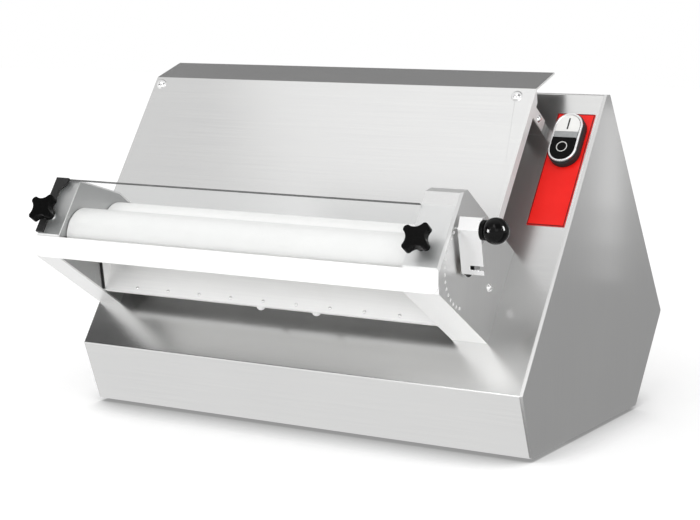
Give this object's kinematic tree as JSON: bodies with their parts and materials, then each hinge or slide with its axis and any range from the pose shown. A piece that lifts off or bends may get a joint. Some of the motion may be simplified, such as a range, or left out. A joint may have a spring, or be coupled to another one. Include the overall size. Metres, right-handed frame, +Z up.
{
  "type": "dough sheeter",
  "caption": "Counter-top dough sheeter with two geared rollers on an inclined steel housing, feed plate, clear guard, thickness lever and push buttons.",
  "frame": {"origin": "middle of the footprint of the whole machine, on the plane under its feet", "axes": "+X towards the control side, +Y to the back, +Z up"},
  "size_m": [0.5242, 0.441, 0.3624],
  "materials": {
    "satin_steel": "satin, finely brushed",
    "bright_steel": "polished",
    "machine_steel": "machined",
    "bronze": "bored",
    "white_plastic": "smooth food-grade",
    "black_gloss": "polished",
    "black_plastic": "moulded",
    "white_gloss": "polished",
    "grey_lens": "translucent",
    "red_panel": "gloss enamel",
    "clear_guard": "clear",
    "motor_paint": "semi-gloss",
    "rubber": "matte"
  },
  "bodies": {
    "housing": {"front_sheet": "satin_steel", "left_side_panel": "satin_steel", "right_side_panel": "satin_steel", "rear_cover": "satin_steel", "base_plate": "satin_steel", "rubber_feet": "rubber", "rear_cover_screws": "bright_steel", "cable_gland": "black_plastic", "left_end_box": "satin_steel", "right_end_box": "satin_steel", "left_bearing_plate": "machine_steel", "right_bearing_plate": "machine_steel", "rear_bushes": "bronze", "front_band": "satin_steel", "apron": "satin_steel", "apron_screw_row": "bright_steel", "apron_buffers": "white_plastic", "apron_seals": "rubber", "front_scraper": "white_plastic", "rear_scraper": "white_plastic", "guard_studs": "bright_steel", "lever_bush": "bronze", "cheek_screw": "bright_steel", "feed_plate": "satin_steel", "feed_brackets": "satin_steel", "feed_dome_screws": "bright_steel", "hanger_pins": "bright_steel", "control_plate": "red_panel", "button_base": "black_plastic", "button_bezel": "bright_steel", "button_lens": "grey_lens", "contact_block": "black_plastic", "gear_motor": "motor_paint", "motor_bracket": "satin_steel", "drive_belt": "rubber"},
    "rear_roller_set": {"rear_roller": "white_plastic", "rear_shaft": "bright_steel", "rear_gear": "machine_steel", "rear_pulley": "machine_steel"},
    "motor_drive": {"motor_pulley": "machine_steel"},
    "carriage": {"left_slide_block": "machine_steel", "right_slide_block": "machine_steel", "front_bushes": "bronze", "cam_follower": "bright_steel"},
    "front_roller_set": {"front_roller": "white_plastic", "front_shaft": "bright_steel", "front_gear": "machine_steel"},
    "lever": {"lever_arm": "bright_steel", "pivot_shaft": "bright_steel", "cam_disc": "machine_steel", "index_sleeve": "black_gloss", "pivot_nut": "bright_steel"},
    "plunger": {"index_pin": "bright_steel", "ball_knob": "black_gloss"},
    "guard": {"clear_guard": "clear_guard", "guard_trim": "rubber"},
    "left_knob": {"left_star_knob": "black_gloss"},
    "right_knob": {"right_star_knob": "black_gloss"},
    "start": {"start_button": "white_gloss"},
    "stop": {"stop_button": "black_gloss"}
  },
  "joints": [
    {"name": "rear_roller_spin", "type": "hinge", "parent": "housing", "child": "rear_roller_set", "pos_m": [0, -0.10984, 0.19289], "axis": [1, 0, 0], "continuous": true},
    {"name": "motor_pulley_spin", "type": "hinge", "parent": "housing", "child": "motor_drive", "pos_m": [-0.24, 0.01784, 0.088], "axis": [1, 0, 0], "continuous": true},
    {"name": "lever_turn", "type": "hinge", "parent": "housing", "child": "lever", "pos_m": [0.21, -0.15534, 0.19289], "axis": [1, 0, 0], "range_deg": [-10.3, 140.3]},
    {"name": "carriage_slide", "type": "slide", "parent": "housing", "child": "carriage", "axis": [0, 1, 0], "range_m": [-0.00018, 0.0025]},
    {"name": "front_roller_spin", "type": "hinge", "parent": "carriage", "child": "front_roller_set", "pos_m": [0, -0.16784, 0.19289], "axis": [1, 0, 0], "continuous": true},
    {"name": "plunger_pull", "type": "slide", "parent": "lever", "child": "plunger", "axis": [1, 0, 0], "range_m": [-0.0012, 0.004]},
    {"name": "guard_lift", "type": "slide", "parent": "housing", "child": "guard", "axis": [0, -0.8214, 0.5703], "range_m": [0, 0.06]},
    {"name": "left_knob_turn", "type": "hinge", "parent": "guard", "child": "left_knob", "pos_m": [-0.248, -0.19508, 0.21362], "axis": [0, -0.8214, 0.5703], "continuous": true},
    {"name": "right_knob_turn", "type": "hinge", "parent": "guard", "child": "right_knob", "pos_m": [0.188, -0.19508, 0.21362], "axis": [0, -0.8214, 0.5703], "continuous": true},
    {"name": "start_press", "type": "slide", "parent": "housing", "child": "start", "axis": [0, 0.8214, -0.5703], "range_m": [0, 0.003], "stiffness_N_per_m": 600, "springref_m": -0.002},
    {"name": "stop_press", "type": "slide", "parent": "housing", "child": "stop", "axis": [0, 0.8214, -0.5703], "range_m": [0, 0.003], "stiffness_N_per_m": 600, "springref_m": -0.002}
  ],
  "couplings": [
    {"joint": "front_roller_spin", "follows": "rear_roller_spin", "ratio": -1},
    {"joint": "motor_pulley_spin", "follows": "rear_roller_spin", "ratio": 1.4444},
    {"joint": "lever_turn", "follows": "carriage_slide", "rad_per_m": 977.38}
  ]
}
